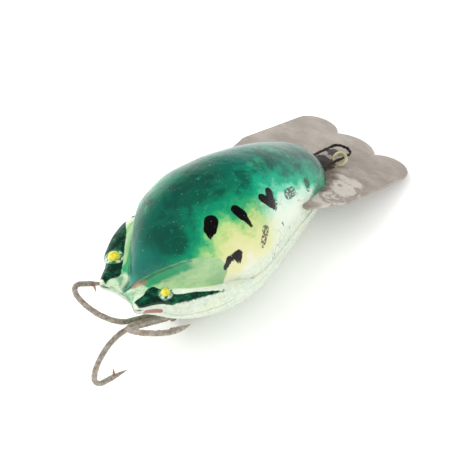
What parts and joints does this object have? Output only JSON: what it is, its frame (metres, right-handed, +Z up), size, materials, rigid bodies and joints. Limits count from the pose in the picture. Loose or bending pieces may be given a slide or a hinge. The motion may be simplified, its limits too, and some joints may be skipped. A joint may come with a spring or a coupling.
{
  "type": "crayfish-shaped diving fishing lure",
  "caption": "Crayfish-shaped deep-diving fishing lure with hollow painted body, scalloped metal diving lip, wire line tie and swinging treble hook.",
  "frame": {"origin": "middle of the bounding box, on the surface the lure rests on", "axes": "+X forward from the claws to the diving lip, +Y to the lure's left, +Z up"},
  "size_m": [0.0936, 0.0326, 0.0299],
  "materials": {
    "green_enamel": "glossy crackled enamel over plastic, green back",
    "white_enamel": "glossy crackled enamel over plastic, mint white belly",
    "lip_metal": "dull stained nickel plate",
    "plated_screw": "dull plating",
    "dark_wire": "blackened and rusty",
    "brass": "old pale brass",
    "eye_enamel": "glossy yellow",
    "lead": "cast",
    "tarnished_steel": "tarnished",
    "hook_wire": "rough rusted wire"
  },
  "bodies": {
    "lure_body": {"body_upper_shell": "green_enamel", "body_lower_shell": "white_enamel", "diving_lip": "lip_metal", "lip_screw_left": "plated_screw", "lip_screw_right": "plated_screw", "line_tie_bail": "dark_wire", "eye_left": "eye_enamel", "eye_right": "eye_enamel", "ballast_weight": "lead", "hook_hanger": "tarnished_steel"},
    "tie_ring": {"line_tie_ring": "brass"},
    "hook_link": {"hook_ring": "tarnished_steel"},
    "treble": {"treble_eyed_hook": "hook_wire", "treble_double_hook": "hook_wire"}
  },
  "joints": [
    {"name": "line_tie_ring_swing", "type": "hinge", "parent": "lure_body", "child": "tie_ring", "pos_m": [0.03302, -0.0044, 0.0085], "axis": [0.9191, 0, -0.3939], "range_deg": [-10, 10]},
    {"name": "hook_link_swing", "type": "hinge", "parent": "lure_body", "child": "hook_link", "pos_m": [-0.01561, 0, 0.00188], "axis": [-0.7015, 0.7071, 0.0886], "range_deg": [-60, 0]},
    {"name": "treble_swing", "type": "hinge", "parent": "hook_link", "child": "treble", "pos_m": [-0.02084, -0.00219, 0.00262], "axis": [-0.0934, 0.9956, 0.0118], "range_deg": [-100, 0]}
  ]
}
